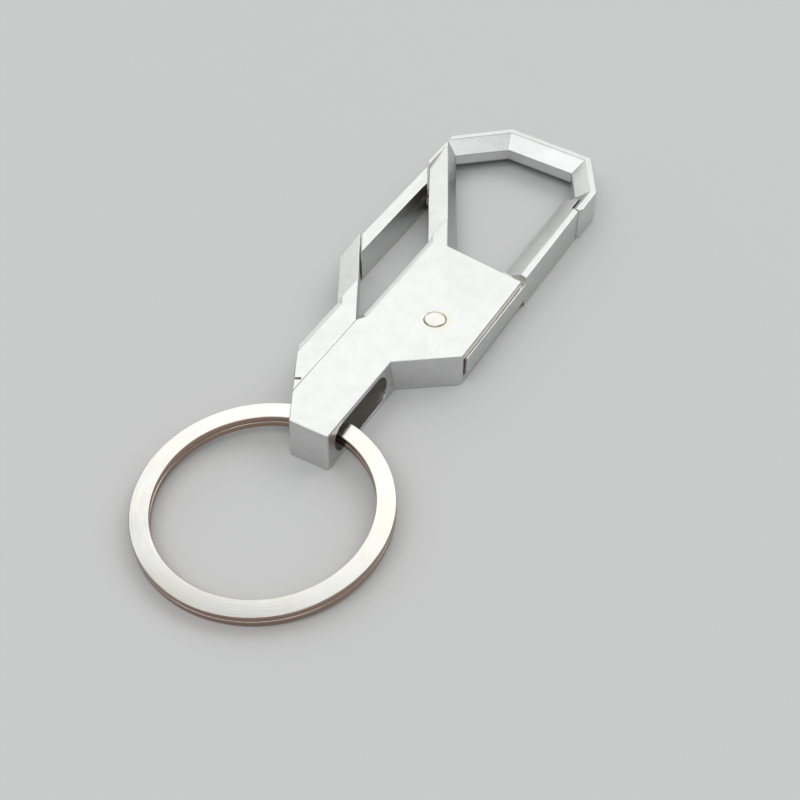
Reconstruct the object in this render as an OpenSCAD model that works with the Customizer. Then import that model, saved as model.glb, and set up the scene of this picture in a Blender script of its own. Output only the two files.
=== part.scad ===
// Belt key clip: a cast hook and body with two sprung gates, a side arm and a split ring.
// The origin is on the main gate's rivet axis, in the plane of the clip's underside.
// The hook points along +Y, the main gate is on the +X side, and +Z is up through the thickness.

/* [Clip] */
// Thickness of the clip, from underside to top face
clip_t = 5.4; // [5:0.1:6.2]
// Lean of the post and the nose, off the clip's length, in degrees
lean = 29.5; // [28:0.5:31]
// Thickness of the plates over and under the main gate's tongue
plate_t = 1.1; // [0.9:0.05:1.3]

/* [Hook] */
// Rivet axis to the hook's highest corner, across the clip
crown_side = 11.55; // [11:0.05:12.2]
// Rivet axis to the hook's highest corner, along the clip
hook_reach = 47.3; // [46:0.1:50]
// Least wall outside the hook's opening, where its shoulder and limb meet
side_wall = 2.04; // [1.6:0.01:2.4]
// Slope of the hook's shoulder up to its highest corner, in degrees
shoulder_slope = 41; // [38:1:44]
// Fall of the hook's top edge from that corner to the nose, in degrees
top_fall = 4.4; // [3:0.1:6]
// Rivet axis to the nose's outer face
nose_side = 7.5; // [7.3:0.05:8]
// Drop from the hook's highest corner to the corner where the nose turns straight down
nose_drop = 9; // [8.4:0.1:9.6]
// Width of the hook's arms, seen from above
arm_w = 3.2; // [2.9:0.05:3.5]
// Lean of the limb between the two loops, off the clip's length, in degrees
limb_lean = 28.4; // [27.5:0.1:29.5]
// Width of the limb
limb_w = 4.3; // [3.9:0.05:4.5]
// Rivet axis to where the limb leaves the body's left edge
limb_root = 14.8; // [14:0.1:15.6]

/* [Bevels] */
// Width of the flat strip along the outer edges of the arms and the main gate
strip_w = 1; // [0.8:0.05:1.2]
// Drop of the bevels round the main loop, from the face to the inner wall
bevel_drop = 1.9; // [1.5:0.05:2.1]
// Width of the bevel on the limb's main loop side
limb_bevel = 1.35; // [1:0.05:1.5]
// Drop of the limb's and the post's wide facet at its outer edge
facet_drop = 0.6; // [0.3:0.05:0.8]
// Width of the soft slope along the body's and the side arm's left edges
soft_w = 0.9; // [0.6:0.05:1.2]
// Drop of that soft slope at the edge
soft_drop = 0.4; // [0.2:0.05:0.5]

/* [Body] */
// Rivet axis to the body's left edge, which is the side arm's seam
body_left = 9.4; // [9.2:0.1:10]
// Rivet axis to the body's right edge
body_right = 6.8; // [6.5:0.05:6.9]
// Rivet axis down to the body's lower right corner
body_low = 4.8; // [4.7:0.05:5.4]
// Rivet axis up to the right end of the body's top edge
brow_right = 13.3; // [13.1:0.05:13.5]
// Rise of the body's top edge towards the limb, in degrees
brow_rise = 8.3; // [7:0.1:9]

/* [Lug] */
// Rivet axis down to the lug's end
lug_reach = 26.3; // [26.1:0.1:27]
// Rivet axis to the lug's right face
lug_right = 1; // [0.8:0.05:1.1]
// Width of the lug at its end
lug_w = 5.9; // [5.6:0.1:6.2]
// Outward lean of the lug's right face, from the top face to the underside
lug_flare = 0.4; // [0.3:0.05:0.6]
// Outward lean of the lug's end face, from the top face to the underside
lug_slant = 0.9; // [0.5:0.05:1]
// Rivet axis down to where the lug's right face meets the body
notch_low = 10.4; // [10.2:0.05:10.6]
// Height of the slot that holds the split ring
slot_h = 4.2; // [4.15:0.01:4.3]
// Distance from the notch down to the slot's upper end
slot_below = 1.35; // [1.1:0.05:1.8]
// Metal left between the slot and the lug's end
slot_wall = 1.3; // [1.2:0.05:1.35]

/* [Main gate] */
// Rivet axis to the gate's outer face
gate_side = 7.1; // [6.95:0.05:7.2]
// Width of the gate's lever
gate_w = 4; // [3.8:0.05:4.2]
// Rivet axis to the outer end of the shoulder over the body's top edge
gate_shoulder = 14.3; // [14.2:0.05:14.8]
// Rise of that shoulder towards the main loop, in degrees
shoulder_rise = 14; // [13:0.5:20]
// Distance from the nose's lower corner down to the outer corner of the gate's end
gate_short = 5.9; // [5.6:0.1:6.3]
// Rise of the gate's end face away from that corner, in degrees
end_rise = 19; // [16:0.5:22]
// Length of the lap that lies inside the nose, from the outer corner up
lap_len = 3.7; // [3.3:0.1:3.9]
// Width of the nose's lip outside the lap
lip_w = 1.7; // [1.5:0.05:1.9]
// Corner radius of the lap's tip
lap_r = 0.9; // [0.6:0.05:1.1]
// Radius of the gate's eye round the rivet
eye_r = 3.3; // [3:0.05:3.35]
// Rivet axis down to the tail of the gate's tongue
tail_low = 3.7; // [3.5:0.05:3.8]
// Rivet axis to the heel that the spring presses on
heel_side = 2; // [1.6:0.05:2.3]
// Rivet axis to the heel's upper end
heel_top = 5.9; // [5.6:0.1:6.2]
// Angle that the gate opens through, in degrees
gate_open = 25; // [20:0.5:25]

/* [Rivet] */
// Diameter of the rivet's shank
rivet_d = 2.4; // [2:0.05:2.8]
// Diameter of the rivet's heads
rivet_head_d = 3.05; // [2.9:0.05:3.6]
// Thickness of each head inside its recess
rivet_head_t = 0.5; // [0.4:0.05:0.6]
// Height that the upper head stands above the top face
rivet_proud = 0.12; // [0.05:0.01:0.2]

/* [Main gate spring] */
// Wire of the main gate's spring
gate_wire = 0.4; // [0.35:0.01:0.42]
// Outer diameter of that spring
gate_coil_d = 2.6; // [2.4:0.05:2.7]
// Number of turns in that spring
gate_turns = 4.5; // [3.5:0.5:4.5]
// Length of that spring with the gate shut
gate_coil_l = 4.7; // [4.6:0.1:5]
// Depth of the recess in the body that seats it
spring_seat = 0.4; // [0.2:0.05:0.6]

/* [Side gate] */
// Width of the side gate's bar
bar_w = 2.1; // [1.9:0.05:2.4]
// Distance from the hook's outer face in to the bar's outer face
bar_inset = 0.6; // [0.5:0.05:0.8]
// Gap between the bar and the limb at the hinge
bar_gap = 0.2; // [0.1:0.01:0.3]
// Gap between the bar's free end and the post
bar_end_gap = 0.25; // [0.1:0.01:0.3]
// Depth of the hinge pin inside the limb's left face
pin_depth = 1.6; // [1.5:0.05:1.75]
// Diameter of the hinge pin
pin_d = 1.3; // [1.1:0.05:1.4]
// Radius of the knuckle round the pin
knuckle_r = 1.25; // [1.15:0.05:1.3]
// Thickness of the knuckle
knuckle_t = 1.3; // [1.1:0.05:1.4]
// Height of the slot in the limb
hinge_slot_h = 2.6; // [2.5:0.05:2.8]
// Metal left over the hinge pin's blind end
pin_cover = 0.9; // [0.8:0.05:1]

/* [Side gate spring] */
// Wire of the side gate's spring
side_wire = 0.28; // [0.25:0.01:0.3]
// Gap between that spring's turns
side_coil_gap = 0.43; // [0.42:0.01:0.45]
// Angle that the spring's coil turns through, in degrees
side_coil_turn = 390; // [370:5:400]
// Length of the leg that rests on the bar
bar_leg = 2.6; // [2:0.1:3]
// Length of the leg that rests in the limb
limb_leg = 1.1; // [0.8:0.05:1.15]

/* [Side arm] */
// Rivet axis to the wedge's outer face
wedge_side = 13.83; // [13.4:0.05:14.2]
// Rivet axis down to the lower end of that face
wedge_low = 13.5; // [13:0.1:14]
// Rivet axis down to its upper end, where the post leaves it
wedge_high = 3.6; // [3.2:0.1:4]
// Distance from the hook's outer face in to the post's outer face
post_inset = 0.2; // [0.1:0.05:0.4]
// Rivet axis down to where the post's inner face meets the seam
post_root = 5.5; // [5.2:0.1:5.8]
// Gap along the seam between the side arm and the body
seam_gap = 0.05; // [0.03:0.01:0.08]
// Length of the tenon that enters the body
tenon_l = 3.2; // [2.8:0.1:3.3]
// Width of the tenon along the seam
tenon_w = 3.4; // [3:0.1:3.6]
// Thickness of the tenon
tenon_t = 2.6; // [2.2:0.1:2.8]
// Diameter of the cross pin through the tenon
arm_pin_d = 1.5; // [1.2:0.05:1.6]
// Size of the small nick in the wedge's edge
nick_w = 0.5; // [0.3:0.05:0.7]
// Distance of that nick from the seam's lower end
nick_up = 2.2; // [1.8:0.1:2.8]

/* [Split ring] */
// Outer diameter of the split ring
ring_od = 33; // [33:0.1:33.2]
// Width of its flattened wire
ring_wire_w = 2.5; // [2.4:0.05:2.5]
// Thickness of its flattened wire
ring_wire_t = 0.9; // [0.8:0.05:0.9]
// Gap between its two turns
turn_gap = 0.1; // [0.06:0.01:0.12]
// Rivet axis to the ring's centre, across the clip
ring_across = 3.44; // [3.4:0.02:3.5]
// Gap between the ring's wire and the lug's end wall, as the ring lies
ring_play = 1.4; // [1.35:0.05:1.5]
// Swing axis to the middle of the wire, towards the ring's outside
swing_in = 0.6; // [0.55:0.01:0.65]
// Arc in which the wire climbs from its lower turn to its upper one, in degrees
climb_arc = 21; // [17:1:22]
// Arc between that climb and each end of the wire, in degrees
end_arc = 2.5; // [1.5:0.5:2.5]

/* [Fits] */
// Clearance of a turning part on its pin, on the radius
run_fit = 0.05; // [0.02:0.01:0.08]
// Clearance of a fixed pin in its hole, on the radius
pin_fit = 0.02; // [0.01:0.01:0.04]
// Clearance of the gate's tongue under each plate, and of the knuckle in its slot
slip = 0.1; // [0.06:0.01:0.12]
// Clearance round the swing of a gate's inner end
swing_gap = 0.35; // [0.3:0.01:0.4]
// Gap between the nose and the gate's lap
lap_gap = 0.15; // [0.1:0.01:0.2]

/* [Hidden] */
$fn = 64;

// Overrun of every cut past the face that it opens
over = 1;
// Size of the blocks that stand for half spaces
far = 2 * (hook_reach + lug_reach);
mid_z = clip_t / 2;

// Directions, as angles from +X
lean_dir = 90 + lean;
limb_dir = 90 + limb_lean;
crown_dir = shoulder_slope;
top_dir = -top_fall;
brow_dir = -brow_rise;

function unit(a) = [cos(a), sin(a)];
function left_of(a) = [-sin(a), cos(a)];
function cross2(p, q) = p.x * q.y - p.y * q.x;
// Where the line through p along a meets the line through q along b
function meet(p, a, q, b) = p + unit(a) * cross2(q - p, unit(b)) / cross2(unit(a), unit(b));
// The point p moved s to the left of the direction a
function aside(p, a, s) = p + s * left_of(a);
// The point p turned by a about the rivet's axis
function turned(p, a) = [p.x * cos(a) - p.y * sin(a), p.x * sin(a) + p.y * cos(a)];

// Corners of the hook, along its outer edge
nose_turn = hook_reach - nose_drop;
gate_end = nose_turn - gate_short;
crown = [-crown_side, hook_reach];
limb_foot = [-body_left, limb_root];
limb_inner = aside(limb_foot, limb_dir, -limb_w);
inner_shoulder = meet(limb_inner, limb_dir, aside(crown, crown_dir, -arm_w), crown_dir);
hook_side = side_wall - inner_shoulder.x;
shoulder = meet(crown, crown_dir, [-hook_side, 0], 90);
nose_top = [nose_side, nose_turn];
nose_corner = meet(crown, top_dir, nose_top, lean_dir);
limb_top = meet(limb_foot, limb_dir, [-hook_side, 0], 90);

// Corners of the main loop's inner wall
brow = [body_right, brow_right];
brow_limb = meet(brow, brow_dir, limb_inner, limb_dir);
inner_crown = meet(inner_shoulder, crown_dir, aside(crown, top_dir, -arm_w), top_dir);
inner_corner = meet(inner_crown, top_dir, aside(nose_top, lean_dir, arm_w), lean_dir);
nose_in = nose_side - arm_w;
inner_nose = meet(inner_corner, lean_dir, [nose_in, 0], 90);

// The main gate's lap and the lip of the nose outside it
lip_in = nose_side - lip_w;
lap_out = lip_in - lap_gap;
gate_in = gate_side - gate_w;
lap_top = gate_end + lap_len;
lap_foot = gate_end + (gate_side - lap_out) * tan(end_rise);
roof_y = lap_top + lap_gap;
lip_low = gate_end + lap_gap / cos(end_rise);
lip_foot = lip_low + (gate_side - lip_in) * tan(end_rise);
lip_side = lip_low + 1.5 * (nose_side - gate_side);
shoulder_in = gate_shoulder + gate_w * tan(shoulder_rise);

// Corners of the lug and of the seam
notch = [-lug_right, -notch_low];
body_corner = [body_right, -body_low];
notch_dir = atan2(body_corner.y - notch.y, body_corner.x - notch.x);
notch_foot = meet(notch, notch_dir, [lug_flare - lug_right, 0], 90);
lug_left = [-lug_right - lug_w, -lug_reach];
wedge_foot = [-wedge_side, -wedge_low];
heel_lean = atan2(wedge_foot.y - lug_left.y, wedge_foot.x - lug_left.x);
seam_foot = meet(lug_left, heel_lean, [-body_left, 0], 90);
lug_low = lug_reach + lug_slant;
lug_foot = meet(lug_left, heel_lean, [0, -lug_low], 0);
slot_low = lug_reach - slot_wall;
slot_top = notch_low + slot_below;

// The tongue and its pocket
pocket_lo = plate_t;
pocket_hi = clip_t - plate_t;
tongue_lo = pocket_lo + slip;
tongue_hi = pocket_hi - slip;
pocket_low = tail_low + swing_gap - slip;
seat_x = -heel_side - gate_coil_l;
pocket_left = -seat_x - spring_seat;
coil_mid_y = (heel_top + sqrt(eye_r * eye_r - heel_side * heel_side)) / 2;
mouth_left = turned([gate_in, shoulder_in], gate_open).x - swing_gap;

// The side gate
bar_out = hook_side - bar_inset;
bar_in = bar_out - bar_w;
bar_corner = meet([-bar_in, 0], 90, limb_foot, limb_dir);
pivot = aside(bar_corner, limb_dir, -pin_depth);
bar_face = aside(bar_corner, limb_dir, bar_gap);
post_side = hook_side - post_inset;
post_foot = [-body_left, -post_root];
post_face = aside(post_foot, lean_dir, -bar_end_gap);
hinge_lo = mid_z - hinge_slot_h / 2;
hinge_hi = mid_z + hinge_slot_h / 2;
knuckle_lo = hinge_lo + slip / 2;
pin_lo = facet_drop / 2;
pin_hi = clip_t - pin_cover;

// The side arm's tenon
tenon_y = -post_root - tenon_w;
arm_pin_x = -body_left + tenon_l / 2;

// The split ring, which leans from its seat in the slot down to the surface under its far side
ring_t = 2 * ring_wire_t + turn_gap;
ring_seat = slot_low - ring_play - ring_wire_w / 2;
ring_r = (ring_od - ring_wire_w) / 2;
swing_y = -ring_seat - swing_in;
ring_fall = asin((mid_z - ring_t / 2) / (2 * ring_r + ring_wire_w / 2 - swing_in));
wire_edge = ring_wire_t / 5;

// A block that fills the left side of the line through p along a
module left_block(p, a) {
    translate([p.x, p.y, -far / 2])
        rotate([0, 0, a])
            translate([-far / 2, 0, 0])
                cube(far);
}

// The space above a slope that starts at the top face on the line through p along a,
// and falls by drop over run to the left of that line
module above_slope(p, a, drop, run) {
    translate([p.x, p.y, clip_t])
        rotate([0, 0, a])
            rotate([-atan2(drop, run), 0, 0])
                translate([-far / 2, -far / 2, 0])
                    cube(far);
}

// The space to the left of the line through p along a, behind a plane that starts on that line
// in the top face and leans out by run at the underside
module outside_lean(p, a, run) {
    translate([p.x, p.y, clip_t])
        rotate([0, 0, a])
            rotate([atan2(run, clip_t), 0, 0])
                translate([-far / 2, 0, -far / 2])
                    cube(far);
}

// Children on the top face and, mirrored, on the underside
module both_faces() {
    children();
    translate([0, 0, clip_t])
        mirror([0, 0, 1])
            children();
}

// The bevel round the main loop, with the same slope on every arm
module loop_bevel() {
    arm_run = arm_w - strip_w;
    intersection() {
        above_slope(aside(limb_inner, limb_dir, limb_bevel), limb_dir + 180, bevel_drop, limb_bevel);
        above_slope(aside(shoulder, crown_dir, -strip_w), crown_dir + 180, bevel_drop, arm_run);
        above_slope(aside(crown, top_dir, -strip_w), top_dir + 180, bevel_drop, arm_run);
        above_slope(aside(nose_top, lean_dir, strip_w), lean_dir, bevel_drop, arm_run);
        above_slope([nose_side - strip_w, 0], 90, bevel_drop, arm_run);
        left_block(brow_limb, brow_dir);
    }
}

// The wide facet on the limb, which falls towards the side loop
module limb_facet() {
    flat_w = limb_w - limb_bevel;
    intersection() {
        above_slope(aside(limb_foot, limb_dir, -flat_w), limb_dir, facet_drop, flat_w);
        left_block(limb_foot, 90);
        left_block([-hook_side + strip_w / 2, 0], -90);
    }
}

// A soft slope along the edge through p along a, falling to the right of it, from y_low to y_high
module soft_edge(x, y_low, y_high) {
    intersection() {
        above_slope([x + soft_w, 0], 90, soft_drop, soft_w);
        left_block([0, y_low], 0);
        left_block([0, y_high], 180);
    }
}

// The tongue in plan, with its eye, its heel and the arm up to the shoulder
module tongue_plan() {
    polygon([
        [gate_side, -tail_low],
        [gate_side, gate_shoulder],
        [gate_in, shoulder_in],
        [-heel_side, heel_top],
        [-heel_side, 0],
        [0, -eye_r]
    ]);
    circle(r = eye_r);
}

// The pocket between the two plates, in plan
module pocket_plan() {
    polygon([
        [0, -pocket_low],
        [body_right + over, -pocket_low],
        [body_right + over, gate_shoulder + over],
        [mouth_left, limb_root + over],
        [mouth_left, limb_root - over],
        [-pocket_left, heel_top + over],
        [-pocket_left, 0],
        [-heel_side, -eye_r / 2]
    ]);
    circle(r = pocket_low);
}

// A round slot along Y, cut through along X
module slot_x(y_low, y_high, h, x_low, x_high) {
    for (y = [y_low + h / 2, y_high - h / 2])
        translate([x_low, y, mid_z])
            rotate([0, 90, 0])
                cylinder(d = h, h = x_high - x_low);
    translate([x_low, y_low + h / 2, mid_z - h / 2])
        cube([x_high - x_low, y_high - y_low - h, h]);
}

// The slot in the limb that the knuckle and the spring lie in
module hinge_slot() {
    slot_r = knuckle_r + swing_gap;
    translate([pivot.x, pivot.y, hinge_lo])
        rotate([0, 0, limb_dir]) {
            cylinder(r = slot_r, h = hinge_slot_h);
            translate([-slot_r - bar_w, 0, 0])
                cube([2 * slot_r + bar_w, pin_depth + over, hinge_slot_h]);
        }
}

module hook_body() {
    color("Gainsboro")
        difference() {
            linear_extrude(clip_t)
                polygon([
                    [notch_foot.x, -lug_low],
                    notch_foot,
                    body_corner,
                    brow,
                    brow_limb,
                    inner_shoulder,
                    inner_crown,
                    inner_corner,
                    inner_nose,
                    [nose_in, roof_y],
                    [lip_in, roof_y],
                    [lip_in, lip_foot],
                    [gate_side, lip_low],
                    [nose_side, lip_side],
                    nose_top,
                    nose_corner,
                    crown,
                    shoulder,
                    limb_top,
                    limb_foot,
                    seam_foot,
                    lug_foot
                ]);
            outside_lean([0, -lug_reach], 180, lug_slant);
            intersection() {
                outside_lean(notch, -90, lug_flare);
                left_block(notch, notch_dir + 180);
            }
            both_faces()
                loop_bevel();
            both_faces()
                limb_facet();
            both_faces()
                soft_edge(-body_left, -post_root, limb_root);
            translate([0, 0, pocket_lo])
                linear_extrude(pocket_hi - pocket_lo)
                    pocket_plan();
            // Bore and head recesses of the rivet
            translate([0, 0, -over])
                cylinder(d = rivet_d + 2 * pin_fit, h = clip_t + 2 * over);
            both_faces()
                translate([0, 0, clip_t - rivet_head_t])
                    cylinder(d = rivet_head_d + 2 * pin_fit, h = rivet_head_t + over);
            // Seat of the main gate's spring
            translate([seat_x, coil_mid_y, mid_z])
                rotate([0, 90, 0])
                    cylinder(d = gate_coil_d + 2 * slip, h = spring_seat + over);
            slot_x(-slot_low, -slot_top, slot_h, -body_left - over, -lug_right + over);
            hinge_slot();
            translate([pivot.x, pivot.y, -over])
                cylinder(d = pin_d + 2 * pin_fit, h = pin_hi + over);
            // Mortise and cross pin hole of the side arm
            translate([-body_left - over, tenon_y - pin_fit, mid_z - tenon_t / 2 - pin_fit])
                cube([tenon_l + slip + over, tenon_w + 2 * pin_fit, tenon_t + 2 * pin_fit]);
            translate([arm_pin_x, tenon_y + tenon_w / 2, -over])
                cylinder(d = arm_pin_d + 2 * pin_fit, h = pin_hi + over);
        }
}

// The lever of the main gate in plan, from its shoulder to its lap
module lever_plan() {
    polygon([
        [gate_side, gate_shoulder],
        [gate_side, gate_end],
        [lap_out, lap_foot],
        [lap_out, lap_top - lap_r],
        [lap_out - lap_r, lap_top],
        [gate_in + lap_r, lap_top],
        [gate_in, lap_top - lap_r],
        [gate_in, shoulder_in]
    ]);
    for (x = [gate_in + lap_r, lap_out - lap_r])
        translate([x, lap_top - lap_r])
            circle(r = lap_r);
}

module main_gate() {
    color("Silver")
        difference() {
            union() {
                difference() {
                    linear_extrude(clip_t)
                        lever_plan();
                    both_faces()
                        above_slope([gate_side - strip_w, 0], 90, bevel_drop, gate_w - strip_w);
                }
                translate([0, 0, tongue_lo])
                    linear_extrude(tongue_hi - tongue_lo)
                        tongue_plan();
            }
            translate([0, 0, -over])
                cylinder(d = rivet_d + 2 * run_fit, h = clip_t + 2 * over);
        }
}

module gate_rivet() {
    color("Beige") {
        translate([0, 0, rivet_head_t])
            cylinder(d = rivet_d, h = clip_t - 2 * rivet_head_t);
        cylinder(d = rivet_head_d, h = rivet_head_t);
        translate([0, 0, clip_t - rivet_head_t])
            cylinder(d = rivet_head_d, h = rivet_head_t + rivet_proud);
    }
}

function cross3(p, q) = [p.y * q.z - p.z * q.y, p.z * q.x - p.x * q.z, p.x * q.y - p.y * q.x];
function along_path(path, i) = path[min(i + 1, len(path) - 1)] - path[max(i - 1, 0)];
// Six points round the path's point i, square to the path
function wire_loop(path, i, r, up) =
    let (t = along_path(path, i), u = cross3(t, up) / norm(cross3(t, up)), v = cross3(u, t) / norm(t))
    [for (k = [0:5]) path[i] + r * (cos(60 * k) * u + sin(60 * k) * v)];

// One unbroken six sided wire of radius r along a path
module wire(path, r, up) {
    n = len(path);
    sides = 6;
    points = [for (i = [0:n - 1]) each wire_loop(path, i, r, up)];
    walls = [
        for (i = [0:n - 2], k = [0:sides - 1])
            let (a = i * sides, b = (k + 1) % sides)
            each [
                [a + k, a + b, a + sides + b],
                [a + k, a + sides + b, a + sides + k]
            ]
    ];
    first = [for (k = [1:sides - 2]) [0, k + 1, k]];
    last = [for (k = [1:sides - 2]) [(n - 1) * sides, (n - 1) * sides + k, (n - 1) * sides + k + 1]];
    polyhedron(points = points, faces = concat(walls, first, last));
}

// Least distance between points of one path that lie at least apart steps from each other
function self_gap(path, apart, d) =
    min([
        for (i = [0:len(path) - 1], j = [i + apart:1:len(path) - 1])
            norm(path[i] - path[j])
    ]) - d;

rings_per_turn = 8;
// Center line of the main gate's spring, which lies along X from its seat to the heel
gate_coil_r = (gate_coil_d - gate_wire) / 2;
gate_coil_pitch = (gate_coil_l - gate_wire) / gate_turns;
gate_coil_path = [
    for (i = [0:gate_turns * rings_per_turn])
        let (a = 360 * i / rings_per_turn)
        [gate_wire / 2 + gate_coil_pitch * i / rings_per_turn, gate_coil_r * cos(a), gate_coil_r * sin(a)]
];
gate_coil_gap = self_gap(gate_coil_path, rings_per_turn - 2, gate_wire);
echo(gate_spring_least_gap_mm = gate_coil_gap);

module gate_spring() {
    color("DarkGray")
        translate([seat_x, coil_mid_y, mid_z])
            wire(gate_coil_path, gate_wire / 2, [1, 0, 0]);
}

// Center line of the side gate's spring: a leg on the bar, the coil round the pin, a leg in the limb
side_coil_r = pin_d / 2 + slip + side_wire / 2;
side_pitch = side_wire + side_coil_gap;
side_lo = knuckle_lo + knuckle_t + slip / 2 + side_wire / 2;
bar_leg_side = pivot.x - side_coil_r + bar_in - side_wire / 2 - pin_fit;
bar_leg_tip = [pivot.x - side_coil_r - bar_leg_side, pivot.y - bar_leg, side_lo];
coil_steps = ceil(side_coil_turn / (360 / rings_per_turn));
side_coil_path = concat(
    [bar_leg_tip, (bar_leg_tip + [pivot.x - side_coil_r, pivot.y, side_lo]) / 2],
    [
        for (i = [0:coil_steps])
            let (a = 180 - side_coil_turn * i / coil_steps)
            [
                pivot.x + side_coil_r * cos(a),
                pivot.y + side_coil_r * sin(a),
                side_lo + side_pitch * side_coil_turn / 360 * i / coil_steps
            ]
    ]
);
side_coil_end = side_coil_path[len(side_coil_path) - 1];
side_end_dir = 90 - side_coil_turn;
side_spring_path = concat(
    side_coil_path,
    [side_coil_end + limb_leg / 2 * [cos(side_end_dir), sin(side_end_dir), 0]],
    [side_coil_end + limb_leg * [cos(side_end_dir), sin(side_end_dir), 0]]
);
side_coil_gap_found = self_gap(side_spring_path, rings_per_turn - 2, side_wire);
echo(side_spring_least_gap_mm = side_coil_gap_found);

module side_gate_spring() {
    color("DarkGray")
        wire(side_spring_path, side_wire / 2, [0, 0, 1]);
}

module side_gate() {
    color("WhiteSmoke")
        difference() {
            union() {
                // The bar, cut square to the limb at its hinge and to the post at its free end
                linear_extrude(clip_t)
                    polygon([
                        meet([-bar_out, 0], 90, post_face, lean_dir),
                        meet([-bar_in, 0], 90, post_face, lean_dir),
                        meet([-bar_in, 0], 90, bar_face, limb_dir),
                        meet([-bar_out, 0], 90, bar_face, limb_dir)
                    ]);
                // The knuckle, joined to the bar's inner corner
                translate([pivot.x, pivot.y, knuckle_lo])
                    cylinder(r = knuckle_r, h = knuckle_t);
                translate([0, 0, knuckle_lo])
                    linear_extrude(knuckle_t)
                        polygon([
                            pivot + knuckle_r * unit(limb_dir),
                            pivot - knuckle_r * unit(limb_dir),
                            bar_face - knuckle_r * unit(limb_dir) - [bar_gap, 0],
                            bar_face + knuckle_r * unit(limb_dir)
                        ]);
            }
            translate([pivot.x, pivot.y, knuckle_lo - over])
                cylinder(d = pin_d + 2 * run_fit, h = knuckle_t + 2 * over);
        }
}

module side_gate_pin() {
    color("DarkGray")
        translate([pivot.x, pivot.y, pin_lo])
            cylinder(d = pin_d, h = pin_hi - pin_lo);
}

module side_arm() {
    seam = -body_left - seam_gap;
    post_corner = meet([-post_side, 0], 90, wedge_foot + [0, wedge_low - wedge_high], lean_dir);
    flat_w = limb_w - limb_bevel;
    color("WhiteSmoke")
        difference() {
            union() {
                linear_extrude(clip_t)
                    polygon([
                        meet([seam, 0], 90, lug_left, heel_lean),
                        meet([seam, 0], 90, post_foot, lean_dir),
                        meet([-post_side, 0], 90, post_foot, lean_dir),
                        post_corner,
                        [-wedge_side, -wedge_high],
                        wedge_foot
                    ]);
                translate([seam, tenon_y, mid_z - tenon_t / 2])
                    cube([tenon_l, tenon_w, tenon_t]);
            }
            // The post's facet falls towards the outside, as the limb's does
            both_faces()
                intersection() {
                    above_slope(post_foot, lean_dir, facet_drop, flat_w);
                    left_block([-wedge_side, 0], 90);
                }
            both_faces()
                soft_edge(-wedge_side, -wedge_low, -wedge_high);
            both_faces()
                translate([wedge_foot.x, wedge_foot.y, clip_t - nick_w])
                    rotate([0, 0, heel_lean])
                        translate([nick_up - norm(seam_foot - wedge_foot), -over, 0])
                            cube([nick_w, over + nick_w, nick_w + over]);
            translate([arm_pin_x, tenon_y + tenon_w / 2, -over])
                cylinder(d = arm_pin_d + 2 * pin_fit, h = clip_t + 2 * over);
        }
}

module side_arm_pin() {
    color("DarkGray")
        translate([arm_pin_x, tenon_y + tenon_w / 2, 0])
            cylinder(d = arm_pin_d, h = pin_hi);
}

// The ring's wire in section: a flat strip with its four corners cut
wire_section = let (w = ring_wire_w / 2, t = ring_wire_t / 2, c = wire_edge) [
    [w - c, -t], [w, c - t], [w, t - c], [w - c, t], [c - w, t], [-w, t - c], [-w, c - t], [c - w, -t]
];
ring_steps = 90;
// Height of the wire's middle at the angle a, from one end of the wire to the other
climb = ring_wire_t + turn_gap;
wire_start = climb_arc + end_arc - 360;
wire_end = 360 - end_arc;
// Direction from the ring's center to the lug's middle, where the climb and both ends lie hidden
lug_side = meet(lug_left, heel_lean, [0, -ring_seat - ring_wire_w / 2], 0).x;
lug_at = 90 + asin(((lug_side - lug_right) / -2 - ring_across) / ring_r);
function wire_height(a) = -climb / 2 + climb * min(max(a / climb_arc, 0), 1);

module split_ring() {
    n = 2 * ring_steps;
    sides = len(wire_section);
    points = [
        for (i = [0:n], p = wire_section)
            let (a = wire_start + (wire_end - wire_start) * i / n, turn = lug_at + a - climb_arc / 2)
            [(ring_r + p.x) * cos(turn), (ring_r + p.x) * sin(turn), p.y + wire_height(a)]
    ];
    walls = [
        for (i = [0:n - 1], k = [0:sides - 1])
            let (a = i * sides, b = (k + 1) % sides)
            each [
                [a + k, a + b, a + sides + b],
                [a + k, a + sides + b, a + sides + k]
            ]
    ];
    first = [for (k = [1:sides - 2]) [0, k + 1, k]];
    last = [for (k = [1:sides - 2]) [n * sides, n * sides + k, n * sides + k + 1]];
    color("Gold")
        translate([-ring_across, swing_y, mid_z])
            rotate([ring_fall, 0, 0])
                translate([0, swing_in - ring_r, 0])
                    polyhedron(points = points, faces = concat(walls, first, last));
}

hook_body();
main_gate();
gate_rivet();
gate_spring();
side_arm();
side_arm_pin();
side_gate();
side_gate_pin();
side_gate_spring();
split_ring();
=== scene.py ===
import math

import bmesh
import bpy
from mathutils import Matrix, Vector


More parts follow.
